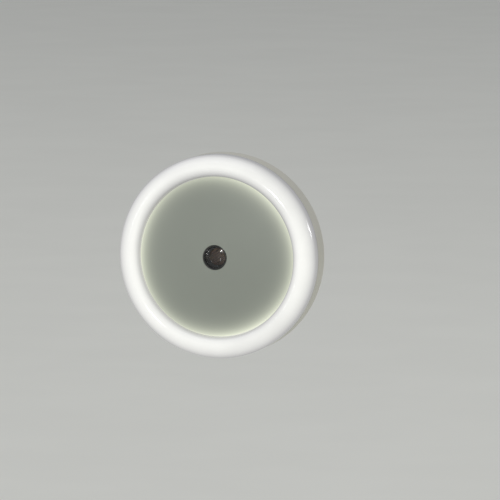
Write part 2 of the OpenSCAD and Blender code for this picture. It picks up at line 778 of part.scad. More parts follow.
// A solid wire, or a tube round a core where r_in is above zero
module wire_run(r_out, r_in, from, to) {
  z = wire_heights(from, to);
  rings = len(z);
  m = wire_sides;
  count = rings * m;
  outer = [for (h = z) each wire_ring(h, r_out)];
  inner = r_in > 0 ? [for (h = z) each wire_ring(h, r_in)] : [];
  last = (rings - 1) * m;
  sides = [for (i = [0:rings - 2]) for (k = [0:m - 1]) let (
      a = i * m + k, b = i * m + (k + 1) % m)
    each [[a, b, b + m], [a, b + m, a + m]]];
  solid_ends = [[for (k = [m - 1:-1:0]) k], [for (k = [0:m - 1]) last + k]];
  bore = [for (f = sides) [f[2] + count, f[1] + count, f[0] + count]];
  open_ends = [for (k = [0:m - 1]) let (j = (k + 1) % m)
    each [[j, k, k + count], [j, k + count, j + count],
          [last + k, last + j, last + j + count], [last + k, last + j + count, last + k + count]]];
  polyhedron(points = concat(outer, inner),
             faces = [for (f = concat(sides, r_in > 0 ? concat(bore, open_ends) : solid_ends))
                       [for (i = [len(f) - 1:-1:0]) f[i]]]);
}

module live_wire() {
  color("#6b4a34") lamp() wire_run(wire_d / 2, core_d / 2 + hole_gap, z_wire, z_wire_end);
}

module neutral_wire() {
  color("#3f6796") lamp() rotate(180)
    wire_run(wire_d / 2, core_d / 2 + hole_gap, z_wire, z_wire_end);
}

// Copper cores, from the solder cups of the pins to the front of the board
module wire_cores() {
  color("#b8743c") lamp() for (turn = [0, 180]) rotate(turn)
    wire_run(core_d / 2, 0, z_tail_end - cup_depth + hole_gap, z_parts + lead_out);
}

rear_housing();
light_ring();
face_disc();
sensor_collar();
sensor_window();
photocell_body();
photocell_track();
photocell_leads();
circuit_board();
led_packages();
led_phosphors();
dropper_capacitor();
dropper_capacitor_leads();
smoothing_capacitor();
smoothing_capacitor_base();
rectifier_body();
rectifier_legs();
fusible_resistor();
fusible_resistor_leads();
chip_resistors();
driver_transistor();
zener_diode();
solder_joints();
plug_pin_left();
plug_pin_right();
pin_sleeve_left();
pin_sleeve_right();
pin_clamp();
clamp_screw();
live_wire();
neutral_wire();
wire_cores();
housing_screws();
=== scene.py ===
# %% [markdown]
# # A plug-in night light
#
# This lesson dresses a round night light that plugs straight into a wall socket. The solid
# model of the lamp is loaded first and stays as it is: it says how large every part is and
# where it sits. What shows from outside is then modelled again, piece by piece, with softer
# edges and with finishes that answer to light as the real plastics and metals do.
#
# The lamp is held by its plug, so its own axis lies flat: the face looks along -Y, the pins
# point along +Y and +Z is up. Sizes are written in millimetres, as a maker would quote them,
# and `MM` turns them into the metres that Blender works in.

# %% Load the solid model
import math

import bmesh
import bpy
from mathutils import Matrix, Vector


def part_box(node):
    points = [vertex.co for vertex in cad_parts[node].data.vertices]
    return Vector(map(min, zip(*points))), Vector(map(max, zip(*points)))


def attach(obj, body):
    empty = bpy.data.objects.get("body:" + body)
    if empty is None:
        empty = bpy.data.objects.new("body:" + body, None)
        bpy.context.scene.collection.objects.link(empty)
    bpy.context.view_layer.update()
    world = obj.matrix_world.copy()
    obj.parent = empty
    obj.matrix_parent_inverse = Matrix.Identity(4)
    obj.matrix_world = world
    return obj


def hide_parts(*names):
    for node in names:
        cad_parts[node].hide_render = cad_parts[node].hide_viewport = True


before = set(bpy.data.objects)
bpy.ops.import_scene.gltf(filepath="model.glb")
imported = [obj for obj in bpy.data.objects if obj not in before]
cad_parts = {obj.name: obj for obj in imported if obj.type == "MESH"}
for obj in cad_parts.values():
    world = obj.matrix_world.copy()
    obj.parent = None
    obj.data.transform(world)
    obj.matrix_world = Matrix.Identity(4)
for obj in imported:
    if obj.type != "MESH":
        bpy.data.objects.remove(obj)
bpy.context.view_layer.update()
MM = 0.001

# %% [markdown]
# ## Where the camera stands
#
# The picture to match was taken from the right of the lamp and a little above it, through a
# long lens from nearly a metre and a half away. The round face therefore shows as a slightly
# narrow ellipse with hardly any perspective. The camera comes first. It is placed from a point
# on the lamp's axis, 4.6 mm behind the ring's crest, and its aim is moved off that point, since
# the lamp sits left of the middle of the picture. `RING_PIXEL` is where that point shows in the
# picture.

# %% Camera
PICTURE = 500
SENSOR = 36.0
AZIMUTH = math.radians(17.6)
ELEVATION = math.radians(7.0)
FOCAL_PIXELS = 4800
DISTANCE = 1.452
RING_PIXEL = (218.2, 256.3)
RING_DEPTH = 4.6

ring_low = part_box("light_ring")[0]
ring_middle = Vector((0, ring_low.y + RING_DEPTH * MM, 0))

back = Vector((math.sin(AZIMUTH) * math.cos(ELEVATION),
               -math.cos(AZIMUTH) * math.cos(ELEVATION), math.sin(ELEVATION)))
right = Vector((math.cos(AZIMUTH), math.sin(AZIMUTH), 0))
up = back.cross(right)
metres_per_pixel = DISTANCE / FOCAL_PIXELS
camera_at = (ring_middle + back * DISTANCE
             + right * (PICTURE / 2 - RING_PIXEL[0]) * metres_per_pixel
             - up * (PICTURE / 2 - RING_PIXEL[1]) * metres_per_pixel)

camera_data = bpy.data.cameras.new("camera")
camera_data.sensor_width = SENSOR
camera_data.lens = FOCAL_PIXELS * SENSOR / PICTURE
camera = bpy.data.objects.new("camera", camera_data)
bpy.context.scene.collection.objects.link(camera)
camera.matrix_world = (Matrix.Translation(camera_at)
                       @ Matrix((right, up, back)).transposed().to_4x4())
bpy.context.scene.camera = camera
print("camera at", tuple(round(v, 4) for v in camera_at), "lens", camera_data.lens, "mm")

# %% [markdown]
# ## Sizes that several pieces share
#
# Distances along the lamp's axis are counted forward from the plug's mating face, as a
# fitter would measure them on a bench, and a small function turns them into the world's Y.
# The main ones are read from the solid model; the rest are wall and edge sizes.

# %% Shared sizes
PLASTIC_EDGE = 0.12
HOLE_GAP = 0.05
FIT_GAP = 0.1


def forward(node_low):
    """Distance in millimetres in front of the mating face of a node's foremost point."""
    return -node_low.y / MM


def behind(node_high):
    """Distance in millimetres in front of the mating face of a node's rearmost point."""
    return -node_high.y / MM


housing_low, housing_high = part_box("rear_housing")
disc_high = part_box("face_disc")[1]
board_low, board_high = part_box("circuit_board")
collar_low, collar_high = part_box("sensor_collar")
window_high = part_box("sensor_window")[1]
cell_low, cell_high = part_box("photocell_body")

body_r = housing_high.x / MM
joint_f = forward(housing_low)
board_f = behind(board_high)
parts_f = forward(board_low)
crest_f = forward(ring_low)
disc_r = disc_high.x / MM
collar_r = collar_high.x / MM
collar_f = forward(collar_low)
window_r = window_high.x / MM
window_f = behind(window_high)
cell_r = cell_high.x / MM
cell_f = forward(cell_low)
print("body radius", round(body_r, 3), "joint", round(joint_f, 3), "crest", round(crest_f, 3))

# %% [markdown]
# ## Turning round parts
#
# Nearly everything on this lamp is round, and the tools that mould it were turned on a
# lathe. So a piece starts as half of its cross-section: a few corners, listed in order as
# radius and forward distance. The corners become a flat face, a vertex bevel rounds those
# that are round on the real piece, the face is dropped and the remaining outline is spun
# once about the axis. `use_merge` closes the last step on the first, and merging doubles
# closes the poles where an outline touches the axis. Normals are recalculated afterwards,
# because a spin can leave a shape inside out.

# %% Helpers for turned parts
SPIN_STEPS = 192
SHARP_ANGLE = math.radians(32)
MERGE = 0.002
DEGENERATE = 0.0002


def keep_mesh(bm, name):
    """Turn a finished bmesh into an object with smooth faces and crisp corners."""
    bmesh.ops.remove_doubles(bm, verts=bm.verts, dist=MERGE * MM)
    bmesh.ops.dissolve_degenerate(bm, edges=bm.edges, dist=DEGENERATE * MM)
    bmesh.ops.recalc_face_normals(bm, faces=bm.faces)
    for face in bm.faces:
        face.smooth = True
    for edge in bm.edges:
        edge.smooth = edge.is_manifold and edge.calc_face_angle(0) < SHARP_ANGLE
    mesh = bpy.data.meshes.new(name)
    bm.to_mesh(mesh)
    bm.free()
    piece = bpy.data.objects.new(name, mesh)
    bpy.context.scene.collection.objects.link(piece)
    return piece


def outline(bm, corners):
    """Draw a half section from corners of (radius, forward, rounding, segments)."""
    points = []
    for corner in corners:
        points.append(bm.verts.new((corner[0] * MM, -corner[1] * MM, 0)))
    bm.faces.new(points)
    for point, corner in zip(points, corners):
        if len(corner) > 2:
            bmesh.ops.bevel(bm, geom=[point], offset=corner[2] * MM, affect="VERTICES",
                            segments=corner[3], profile=0.5, material=-1,
                            clamp_overlap=False)
    bm.faces.ensure_lookup_table()
    bmesh.ops.delete(bm, geom=[bm.faces[0]], context="FACES_ONLY")


def turn(name, corners, steps=SPIN_STEPS, at=(0, 0)):
    """Spin a half section once round an axis that runs along Y through x, z."""
    bm = bmesh.new()
    outline(bm, corners)
    on_axis = [e for e in bm.edges if max(abs(v.co.x) for v in e.verts) < MERGE * MM]
    bmesh.ops.delete(bm, geom=on_axis, context="EDGES")
    bmesh.ops.spin(bm, geom=bm.verts[:] + bm.edges[:], cent=(0, 0, 0), axis=(0, 1, 0),
                   angle=2 * math.pi, steps=steps, use_merge=True, use_duplicate=False)
    bmesh.ops.translate(bm, verts=bm.verts, vec=(at[0] * MM, 0, at[1] * MM))
    return keep_mesh(bm, name)


def arc(height, r_from, r_to, count):
    """Points along a curve of revolution, from one radius to another."""
    step = (r_to - r_from) / count
    return [(r_from + i * step, height(r_from + i * step)) for i in range(count + 1)]


def combine(piece, other, operation):
    """Join or cut one solid with another, keep the result and drop the tool."""
    name = piece.name
    modifier = piece.modifiers.new("combine", "BOOLEAN")
    modifier.object = other
    modifier.operation = operation
    modifier.solver = "EXACT"
    bpy.context.view_layer.update()
    shape = piece.evaluated_get(bpy.context.evaluated_depsgraph_get())
    bm = bmesh.new()
    bm.from_mesh(shape.data)
    for old in (piece, other):
        mesh = old.data
        bpy.data.objects.remove(old)
        bpy.data.meshes.remove(mesh)
    return keep_mesh(bm, name)


def describe(piece):
    """Print how large a piece came out and whether it is closed."""
    bm = bmesh.new()
    bm.from_mesh(piece.data)
    open_edges = sum(1 for e in bm.edges if not e.is_manifold)
    volume = bm.calc_volume(signed=True) / MM ** 3
    print(f"{piece.name}: {len(bm.faces)} faces, {open_edges} open edges, {volume:.1f} mm3")
    bm.free()


# %% [markdown]
# ## The light ring
#
# The ring is a hollow moulding in milky plastic. Its front is a fat, nearly round bead with
# a wide curve outside and a tighter one inside. Behind it run the inner wall, a lip that the
# face disc clamps, and a thin spigot that snaps into the housing. The channel inside stays
# open towards the LEDs, which shine into it from the circuit board.

# %% Light ring
RING_W = 6.5
RING_ROUND = 4.1
RING_IN_ROUND = RING_W - RING_ROUND
RING_WALL = 1.6
LIP_W = 1.25
LIP_T = 1.2
SPIGOT_LEN = 2.0
SPIGOT_ROOT = 1.0
SPIGOT_OUT_R = 29.3
SPIGOT_IN_R = 28.3
BEAD = 0.25
LIP_F = 38.4

ring_in_r = body_r - RING_W
ring_crest_r = body_r - RING_ROUND
channel_r = body_r - RING_WALL
channel_round = RING_ROUND - RING_WALL
channel_f = crest_f - RING_WALL
tail_f = joint_f - SPIGOT_LEN
bead_f = joint_f - SPIGOT_LEN / 2
lip_r = ring_in_r - LIP_W

light_ring = turn("light_ring_shell", [
    (body_r, joint_f, PLASTIC_EDGE, 3),
    (body_r, crest_f, RING_ROUND, 20),
    (ring_in_r, crest_f, RING_IN_ROUND, 14),
    (ring_in_r, LIP_F),
    (lip_r, LIP_F, PLASTIC_EDGE, 2),
    (lip_r, LIP_F - LIP_T, PLASTIC_EDGE, 2),
    (ring_in_r, LIP_F - LIP_T),
    (ring_in_r, tail_f),
    (ring_crest_r, tail_f),
    (ring_crest_r, channel_f),
    (channel_r, channel_f, channel_round, 12),
    (channel_r, joint_f + SPIGOT_ROOT),
    (SPIGOT_IN_R, joint_f + SPIGOT_ROOT),
    (SPIGOT_IN_R, tail_f),
    (SPIGOT_OUT_R, tail_f, PLASTIC_EDGE, 2),
    (SPIGOT_OUT_R, bead_f - BEAD),
    (SPIGOT_OUT_R + BEAD, bead_f, BEAD / 2, 3),
    (SPIGOT_OUT_R, bead_f + BEAD),
    (SPIGOT_OUT_R, joint_f),
], steps=256)
describe(light_ring)

# %% [markdown]
# ## The face disc
#
# The disc is a thin dome, 1.8 mm higher in its middle than at its edge. Its edge lies below
# the ring's crest and is softly rounded, so a fine shadow line runs between the two. Behind
# it are a locating skirt and three bosses that take the housing screws. The dome is a slice
# of a large sphere, so its height follows from the sphere's radius.

# %% Face disc
DISC_RECESS = 2.9
DISC_DOME = 1.8
DISC_T = 1.6
DISC_EDGE_ROUND = 0.6
SKIRT_GAP = 0.1
SKIRT_WALL = 1.4
SKIRT_FOOT = 0.4
HOLE_EDGE = 0.18
SCREW_R = 20.3
SCREW_ANGLES = [90, 210, 330]
SCREW_D = 2.2
BOSS_R = 2.6
BOSS_FOOT = 0.1
THREAD_END_F = 37.9
DOME_POINTS = 24

dome_r = (disc_r ** 2 + DISC_DOME ** 2) / (2 * DISC_DOME)
skirt_r = lip_r - SKIRT_GAP
skirt_in_r = skirt_r - SKIRT_WALL
sensor_hole_r = collar_r + HOLE_GAP
screw_hole_r = SCREW_D / 2 + HOLE_GAP / 2
dome_top_f = crest_f - DISC_RECESS + DISC_DOME


def dome(r):
    """Forward distance of the disc's front at a radius."""
    return dome_top_f - dome_r + math.sqrt(dome_r ** 2 - r ** 2)


def screw_places():
    """Middles of the three housing screws, as x and z."""
    for angle in SCREW_ANGLES:
        yield (SCREW_R * math.cos(math.radians(angle)),
               SCREW_R * math.sin(math.radians(angle)))


front_arc = arc(dome, sensor_hole_r + HOLE_EDGE, disc_r - DISC_EDGE_ROUND, DOME_POINTS)
rear_arc = arc(lambda r: dome(r) - DISC_T, skirt_in_r, sensor_hole_r, DOME_POINTS)
face_disc = turn("face_disc_shell", [
    (sensor_hole_r, dome(sensor_hole_r), HOLE_EDGE / 2, 4),
    *front_arc,
    (disc_r, dome(disc_r), DISC_EDGE_ROUND / 2, 6),
    (disc_r, LIP_F),
    (skirt_r, LIP_F),
    (skirt_r, parts_f + SKIRT_FOOT),
    (skirt_in_r, parts_f + SKIRT_FOOT),
    *rear_arc,
], steps=256)
for x, z in screw_places():
    boss = turn("boss", [
        (0, parts_f + BOSS_FOOT),
        (BOSS_R, parts_f + BOSS_FOOT),
        (BOSS_R, dome(SCREW_R + BOSS_R) - DISC_T / 3),
        (0, dome(SCREW_R + BOSS_R) - DISC_T / 3),
    ], steps=48, at=(x, z))
    face_disc = combine(face_disc, boss, "UNION")
    thread_hole = turn("thread hole", [
        (0, parts_f),
        (screw_hole_r, parts_f),
        (screw_hole_r, THREAD_END_F),
        (0, THREAD_END_F),
    ], steps=48, at=(x, z))
    face_disc = combine(face_disc, thread_hole, "DIFFERENCE")
describe(face_disc)

# %% [markdown]
# ## The rear housing
#
# The back half is a shallow pot with a rounded rim at its back, and a hollow neck that grows
# out of its floor and ends in the plug. The pot is turned like the ring. The neck is a
# flattened hexagon with round corners, so it is lofted: the same outline is drawn at several
# heights, a little smaller at the mating face and a little larger where it flares into the
# pot, and the outlines are bridged. A boolean joins the two, and further ones cut the neck's
# inside, the pin seats and the screw holes, as the mould's cores do.

# %% Neck outline
BACK_ROUND = 4.0
RIM_BEVEL = 0.3
SHELL_WALL = 1.6
LEDGE_W = 2.0
FLOOR_T = 2.0
NECK_W = 35.3
NECK_H = 13.7
NECK_FLAT_W = 26.0
NECK_ROUND = 2.2
NECK_LEN = 26.8
NECK_WALL = 2.0
NECK_END = 6.0
LEAST_ROUND = 0.2

floor_f = NECK_LEN + FLOOR_T
bore_r = body_r - SHELL_WALL
ledge_r = bore_r - LEDGE_W
print("neck", NECK_W, "by", NECK_H, "mm, pot's bore radius", round(bore_r, 3))


def neck_loop(bm, inset, f):
    """Draw the neck's outline, moved in by `inset`, and return its edges."""
    rounding = max(NECK_ROUND - inset, LEAST_ROUND)
    slope = math.atan2(NECK_H / 2, (NECK_W - NECK_FLAT_W) / 2)
    side_x = NECK_W / 2 - inset / math.sin(slope)
    top_x = NECK_FLAT_W / 2 - inset * math.tan(slope / 2)
    top_z = NECK_H / 2 - inset
    corners = [(side_x, 0), (top_x, top_z), (-top_x, top_z),
               (-side_x, 0), (-top_x, -top_z), (top_x, -top_z)]
    points = [bm.verts.new((x * MM, -f * MM, z * MM)) for x, z in corners]
    bm.faces.new(points)
    half_turns = [math.pi / 2 - slope if z == 0 else slope / 2 for x, z in corners]
    for point, half_turn in zip(points, half_turns):
        bmesh.ops.bevel(bm, geom=[point], offset=rounding * math.tan(half_turn) * MM,
                        affect="VERTICES", segments=8, profile=0.5, material=-1,
                        clamp_overlap=False)
    bm.faces.ensure_lookup_table()
    face = bm.faces[-1]
    edges = face.edges[:]
    bmesh.ops.delete(bm, geom=[face], context="FACES_ONLY")
    return edges


def neck_loft(name, sections):
    """Bridge the neck's outline through sections of (inset, forward) and cap both ends."""
    bm = bmesh.new()
    loops = [neck_loop(bm, inset, f) for inset, f in sections]
    for lower, upper in zip(loops, loops[1:]):
        bmesh.ops.bridge_loops(bm, edges=lower + upper)
    bmesh.ops.edgeloop_fill(bm, edges=loops[0])
    bmesh.ops.edgeloop_fill(bm, edges=loops[-1])
    return keep_mesh(bm, name)


# %% [markdown]
# ## The pot and its neck
#
# The neck's sections follow two quarter circles: one rounds the edge of the mating face, the
# other opens the neck out into the back of the pot. The pot is turned from its own half
# section, with a groove inside its rim for the ring's bead, and the two are joined.

# %% Housing solid
FACE_EDGE = 0.5
ROOT_FLARE = 0.9
CURVE_STEPS = 4

quarter = [i * math.pi / 2 / CURVE_STEPS for i in range(CURVE_STEPS + 1)]
edge_curve = [(FACE_EDGE * (1 - math.sin(a)), FACE_EDGE * (1 - math.cos(a)))
              for a in quarter]
root_curve = [(-ROOT_FLARE * (1 - math.cos(a)), NECK_LEN - ROOT_FLARE * (1 - math.sin(a)))
              for a in quarter]
neck = neck_loft("neck", edge_curve + root_curve + [(-ROOT_FLARE, NECK_LEN + FLOOR_T / 2)])
rear_housing = turn("rear_housing_shell", [
    (0, NECK_LEN),
    (body_r, NECK_LEN, BACK_ROUND, 16),
    (body_r, joint_f, RIM_BEVEL, 3),
    (bore_r, joint_f, PLASTIC_EDGE, 2),
    (bore_r, bead_f + BEAD),
    (bore_r + BEAD, bead_f),
    (bore_r, bead_f - BEAD),
    (bore_r, board_f),
    (ledge_r, board_f),
    (ledge_r, floor_f),
    (0, floor_f),
], steps=256)
rear_housing = combine(rear_housing, neck, "UNION")
describe(rear_housing)

# %% [markdown]
# ## Bosses and holes in the housing
#
# Three bosses rise from the floor for the screws, the neck is cored out from the front, and
# holes are drilled for the pins, the clamp's screw and the housing screws. Every tool reaches
# a millimetre past the face that it cuts, so that no thin skin is left. Cutting leaves narrow
# faces beside large flat ones, and smooth shading would bend near them. Weighted normals let
# the large faces decide, so the flats look flat and only the edges look round.

# %% Housing bosses and holes
CUT = 1.0
PIN_X = 9.5
PIN_SEAT = 3.0
SLEEVE_R = 1.8
SLEEVE_ROOT = 1.5
SHANK_R = 1.4
PIN_COLLAR_R = 2.5
CLAMP_SCREW_R = 0.9
CLAMP_SCREW_DEPTH = 3.3
SCREW_BOSS_R = 3.3
SCREW_HEAD_R = 2.2
HEAD_RECESS = 2.2
DRILL_STEPS = 48


def rod(name, steps_of, at=(0, 0)):
    """A stepped rod from (radius, from, to) lengths, used to add bosses and to drill."""
    corners = [(0, steps_of[0][1])]
    for r, f_from, f_to in steps_of:
        corners += [(r, f_from), (r, f_to)]
    corners.append((0, steps_of[-1][2]))
    return turn(name, corners, steps=DRILL_STEPS, at=at)


for place in screw_places():
    rear_housing = combine(
        rear_housing, rod("boss", [(SCREW_BOSS_R, floor_f - CUT, board_f)], at=place), "UNION")
core = neck_loft("core", [(NECK_WALL, NECK_END), (NECK_WALL, floor_f + CUT)])
rear_housing = combine(rear_housing, core, "DIFFERENCE")
for side in (-1, 1):
    seat = rod("seat", [(SLEEVE_R + HOLE_GAP, -CUT, SLEEVE_ROOT),
                        (SHANK_R + HOLE_GAP, SLEEVE_ROOT, PIN_SEAT),
                        (PIN_COLLAR_R + HOLE_GAP, PIN_SEAT, NECK_END + CUT)],
               at=(side * PIN_X, 0))
    rear_housing = combine(rear_housing, seat, "DIFFERENCE")
pilot = rod("pilot", [(CLAMP_SCREW_R + HOLE_GAP, NECK_END - CLAMP_SCREW_DEPTH, NECK_END + CUT)])
rear_housing = combine(rear_housing, pilot, "DIFFERENCE")
for place in screw_places():
    drill = rod("drill", [(SCREW_HEAD_R + FIT_GAP, NECK_LEN - CUT, NECK_LEN + HEAD_RECESS),
                          (SCREW_D / 2 + HOLE_GAP, NECK_LEN + HEAD_RECESS, board_f + CUT)],
                at=place)
    rear_housing = combine(rear_housing, drill, "DIFFERENCE")
describe(rear_housing)
even_shading = rear_housing.modifiers.new("even shading", "WEIGHTED_NORMAL")
even_shading.keep_sharp = True

# %% [markdown]
# ## The light sensor
#
# In the middle of the face a black collar keeps the ring's own light off the sensor. Its
# bore steps inwards three times; from the side these steps show as fine arcs. A small domed
# window closes it at the front. The steps repeat, so a loop works out their corners, and the
# window's front is a slice of a sphere, as the disc's is.

# %% Sensor collar and window
COLLAR_WALL = 0.45
WINDOW_SEAT = 0.35
COLLAR_STEPS = 3
COLLAR_STEP_H = 0.6
STEP_EDGE = 0.06
WINDOW_T = 0.7
WINDOW_DOME = 0.3

window_seat_r = collar_r - COLLAR_WALL
collar_in_r = window_seat_r - WINDOW_SEAT
cell_bore_r = cell_r + HOLE_GAP
collar_step = (collar_in_r - cell_bore_r) / COLLAR_STEPS
bore_steps = [(window_seat_r, collar_f, STEP_EDGE * 2, 3), (window_seat_r, window_f)]
for i in range(COLLAR_STEPS):
    step_r = collar_in_r - i * collar_step
    bore_steps += [(step_r, window_f - i * COLLAR_STEP_H, STEP_EDGE, 2),
                   (step_r, window_f - (i + 1) * COLLAR_STEP_H)]
bore_steps += [(cell_bore_r, window_f - COLLAR_STEPS * COLLAR_STEP_H, STEP_EDGE, 2),
               (cell_bore_r, parts_f)]
sensor_collar = turn("sensor_collar_shell",
                     [(collar_r, parts_f), (collar_r, collar_f, STEP_EDGE * 2, 3), *bore_steps],
                     steps=128)
describe(sensor_collar)

window_dome_r = (window_r ** 2 + WINDOW_DOME ** 2) / (2 * WINDOW_DOME)
window_top_f = window_f + WINDOW_T + WINDOW_DOME


def window_front(r):
    """Forward distance of the window's domed front at a radius."""
    return window_top_f - window_dome_r + math.sqrt(window_dome_r ** 2 - r ** 2)


sensor_window = turn("sensor_window_glass", [
    (0, window_f),
    (window_r, window_f, STEP_EDGE, 2),
    *reversed(arc(window_front, 0, window_r, DOME_POINTS)),
], steps=128)
describe(sensor_window)

# %% [markdown]
# ## The photocell
#
# Under the window sits the photocell: a round brown chip with a winding, darker track across
# its face, which is what feels the light. The track stands a little proud, so it is modelled
# and not just coloured. Its route is a line of corners that runs to and fro across the chip.
# A vertex bevel rounds the corners, an extrusion raises the line into a thin wall, and
# Solidify gives the wall its width.

# %% Photocell
CELL_EDGE = 0.35
TRACK_TURNS = 5
TRACK_W = 0.3
TRACK_T = 0.08
TRACK_MARGIN = 0.5
TRACK_TURN = math.radians(-35)
CELL_FOOT = 0.8
LEAD_R = 0.3
LEAD_X = 1.7

photocell = turn("photocell_chip", [
    (0, behind(cell_high)),
    (cell_r, behind(cell_high), STEP_EDGE * 2, 2),
    (cell_r, cell_f, CELL_EDGE, 5),
    (0, cell_f),
], steps=96)
for side in (-1, 1):
    lead_hole = rod("lead hole", [(LEAD_R + HOLE_GAP, behind(cell_high) - CUT,
                                   behind(cell_high) + CELL_FOOT)], at=(side * LEAD_X, 0))
    photocell = combine(photocell, lead_hole, "DIFFERENCE")
describe(photocell)

track_reach = cell_r - TRACK_MARGIN
track_pitch = 2 * (track_reach - TRACK_W / 2) / TRACK_TURNS
track_heights = [(i + 0.5 - TRACK_TURNS / 2) * track_pitch for i in range(TRACK_TURNS)]
track_halves = [math.sqrt(track_reach ** 2 - z ** 2) for z in track_heights]
links = [min(pair) - TRACK_W / 2 for pair in zip(track_halves, track_halves[1:])]
starts = [track_halves[0], *links]
ends = [*links, track_halves[-1]]

bm = bmesh.new()
route = []
for i, z in enumerate(track_heights):
    side = 1 if i % 2 == 0 else -1
    run_ends = (-side * starts[i], side * ends[i])
    route += [bm.verts.new((x * MM, -cell_f * MM, z * MM)) for x in run_ends]
for a, b in zip(route, route[1:]):
    bm.edges.new((a, b))
for corner in route[1:-1]:
    bmesh.ops.bevel(bm, geom=[corner], offset=track_pitch * MM / 2, affect="VERTICES",
                    segments=6, profile=0.5, material=-1, clamp_overlap=True)
wall = bmesh.ops.extrude_edge_only(bm, edges=bm.edges)["geom"]
raised = [v for v in wall if isinstance(v, bmesh.types.BMVert)]
bmesh.ops.translate(bm, verts=raised, vec=(0, -TRACK_T * MM, 0))
bmesh.ops.rotate(bm, verts=bm.verts, cent=(0, 0, 0),
                 matrix=Matrix.Rotation(TRACK_TURN, 3, "Y"))
photocell_track = keep_mesh(bm, "photocell_sensing_track")
thickness = photocell_track.modifiers.new("track width", "SOLIDIFY")
thickness.thickness = TRACK_W * MM
thickness.offset = 0
thickness.use_even_offset = True
print("track corners", len(route))

# %% [markdown]
# ## The plug
#
# Two round pins carry the lamp in its socket. Each is one turned piece of nickel-plated
# brass: a bare rounded end, a thinner shank, a collar that is trapped inside the neck and a
# cupped tail that takes the wire. A plastic sleeve covers the shank, so nothing live can be
# touched while the plug is half out.

# %% Pins and sleeves
PIN_R = 2.0
PIN_LEN = 19.0
PIN_TIP = 1.2
PIN_EDGE = 0.15
SLEEVE_LEN = 10.0
COLLAR_PLAY = 0.05
TAIL_R = 1.2
TAIL_LEN = 8.0
CUP_R = 0.55
CUP_DEPTH = 3.0

pins = []
sleeves = []
for side, word in ((-1, "left"), (1, "right")):
    pins.append(turn(f"plug_pin_{word}_turned", [
        (0, -PIN_LEN),
        (PIN_R, -PIN_LEN, PIN_TIP, 8),
        (PIN_R, -SLEEVE_LEN, PIN_EDGE, 2),
        (SHANK_R, -SLEEVE_LEN),
        (SHANK_R, PIN_SEAT),
        (PIN_COLLAR_R, PIN_SEAT, PIN_EDGE, 2),
        (PIN_COLLAR_R, NECK_END - COLLAR_PLAY, PIN_EDGE, 2),
        (TAIL_R, NECK_END - COLLAR_PLAY),
        (TAIL_R, NECK_END + TAIL_LEN, PIN_EDGE, 2),
        (CUP_R, NECK_END + TAIL_LEN),
        (CUP_R, NECK_END + TAIL_LEN - CUP_DEPTH),
        (0, NECK_END + TAIL_LEN - CUP_DEPTH),
    ], steps=64, at=(side * PIN_X, 0)))
    sleeves.append(turn(f"pin_sleeve_{word}_moulded", [
        (SHANK_R + HOLE_GAP, -SLEEVE_LEN),
        (SLEEVE_R, -SLEEVE_LEN, PIN_EDGE, 3),
        (SLEEVE_R, SLEEVE_ROOT),
        (SHANK_R + HOLE_GAP, SLEEVE_ROOT),
    ], steps=64, at=(side * PIN_X, 0)))
describe(pins[0])
describe(sleeves[0])

# %% [markdown]
# ## The housing screws
#
# Three pan-head screws hold the lamp together from behind, each at the bottom of a recess in
# the housing's back. The head is turned, and the cross for the driver is cut by two tapered
# blades.

# %% Screws
SCREW_HEAD_H = 1.8
SCREW_LEN = 8.6
SCREW_TIP_R = 0.3
CROSS_LEN = 2.4
CROSS_W = 0.6
CROSS_DEPTH = 0.7
CROSS_TAPER = 0.7

seat_f = NECK_LEN + HEAD_RECESS
head_f = seat_f - SCREW_HEAD_H
screws = []
for number, place in enumerate(screw_places(), start=1):
    screw = turn(f"housing_screw_{number}", [
        (0, head_f),
        (SCREW_HEAD_R, head_f, SCREW_HEAD_H / 2, 8),
        (SCREW_HEAD_R, seat_f, PIN_EDGE, 2),
        (SCREW_D / 2, seat_f),
        (SCREW_D / 2, seat_f + SCREW_LEN - SCREW_D / 2),
        (SCREW_TIP_R, seat_f + SCREW_LEN),
        (0, seat_f + SCREW_LEN),
    ], steps=64, at=place)
    for turn_angle in (0, math.pi / 2):
        bm = bmesh.new()
        bmesh.ops.create_cube(bm, size=1)
        bmesh.ops.scale(bm, verts=bm.verts,
                        vec=(CROSS_LEN * MM, 2 * CROSS_DEPTH * MM, CROSS_W * MM))
        deep = [v for v in bm.verts if v.co.y < 0]
        bmesh.ops.scale(bm, verts=deep, vec=(CROSS_TAPER, 1, CROSS_TAPER))
        bmesh.ops.rotate(bm, verts=bm.verts, cent=(0, 0, 0),
                         matrix=Matrix.Rotation(turn_angle, 3, "Y"))
        bmesh.ops.translate(bm, verts=bm.verts,
                            vec=(place[0] * MM, -head_f * MM, place[1] * MM))
        screw = combine(screw, keep_mesh(bm, "blade"), "DIFFERENCE")
    screws.append(screw)
describe(screws[0])

# %% [markdown]
# ## How the finishes are built
#
# Moulded plastic is never one even colour. Under a lamp it shows a very slow mottling from
# the way the melt flowed, a fine grain left by the mould's surface, and gloss that wanders a
# little. A moulded finish starts from one Principled shader and adds those three things with
# noise on Object coordinates, so the pattern has a real size in millimetres and stays on the
# piece in every view. A metal gets fine marks in place of the grain.

# %% Helpers for finishes
COORDINATES = "Object"
GLOSS_CHANGE = 0.05
COAT_ROUGHNESS = 0.06
METAL_PATCHES = 2.5
METAL_MARK_DEPTH = 0.0004


def start_finish(name):
    """A new material with one Principled shader, ready to be linked up."""
    material = bpy.data.materials.new(name)
    material.use_nodes = True
    tree = material.node_tree
    tree.nodes.clear()
    output = tree.nodes.new("ShaderNodeOutputMaterial")
    shader = tree.nodes.new("ShaderNodeBsdfPrincipled")
    tree.links.new(shader.outputs["BSDF"], output.inputs["Surface"])
    return material, tree, shader


def place_on(tree):
    """Object coordinates, in metres."""
    return tree.nodes.new("ShaderNodeTexCoord").outputs[COORDINATES]


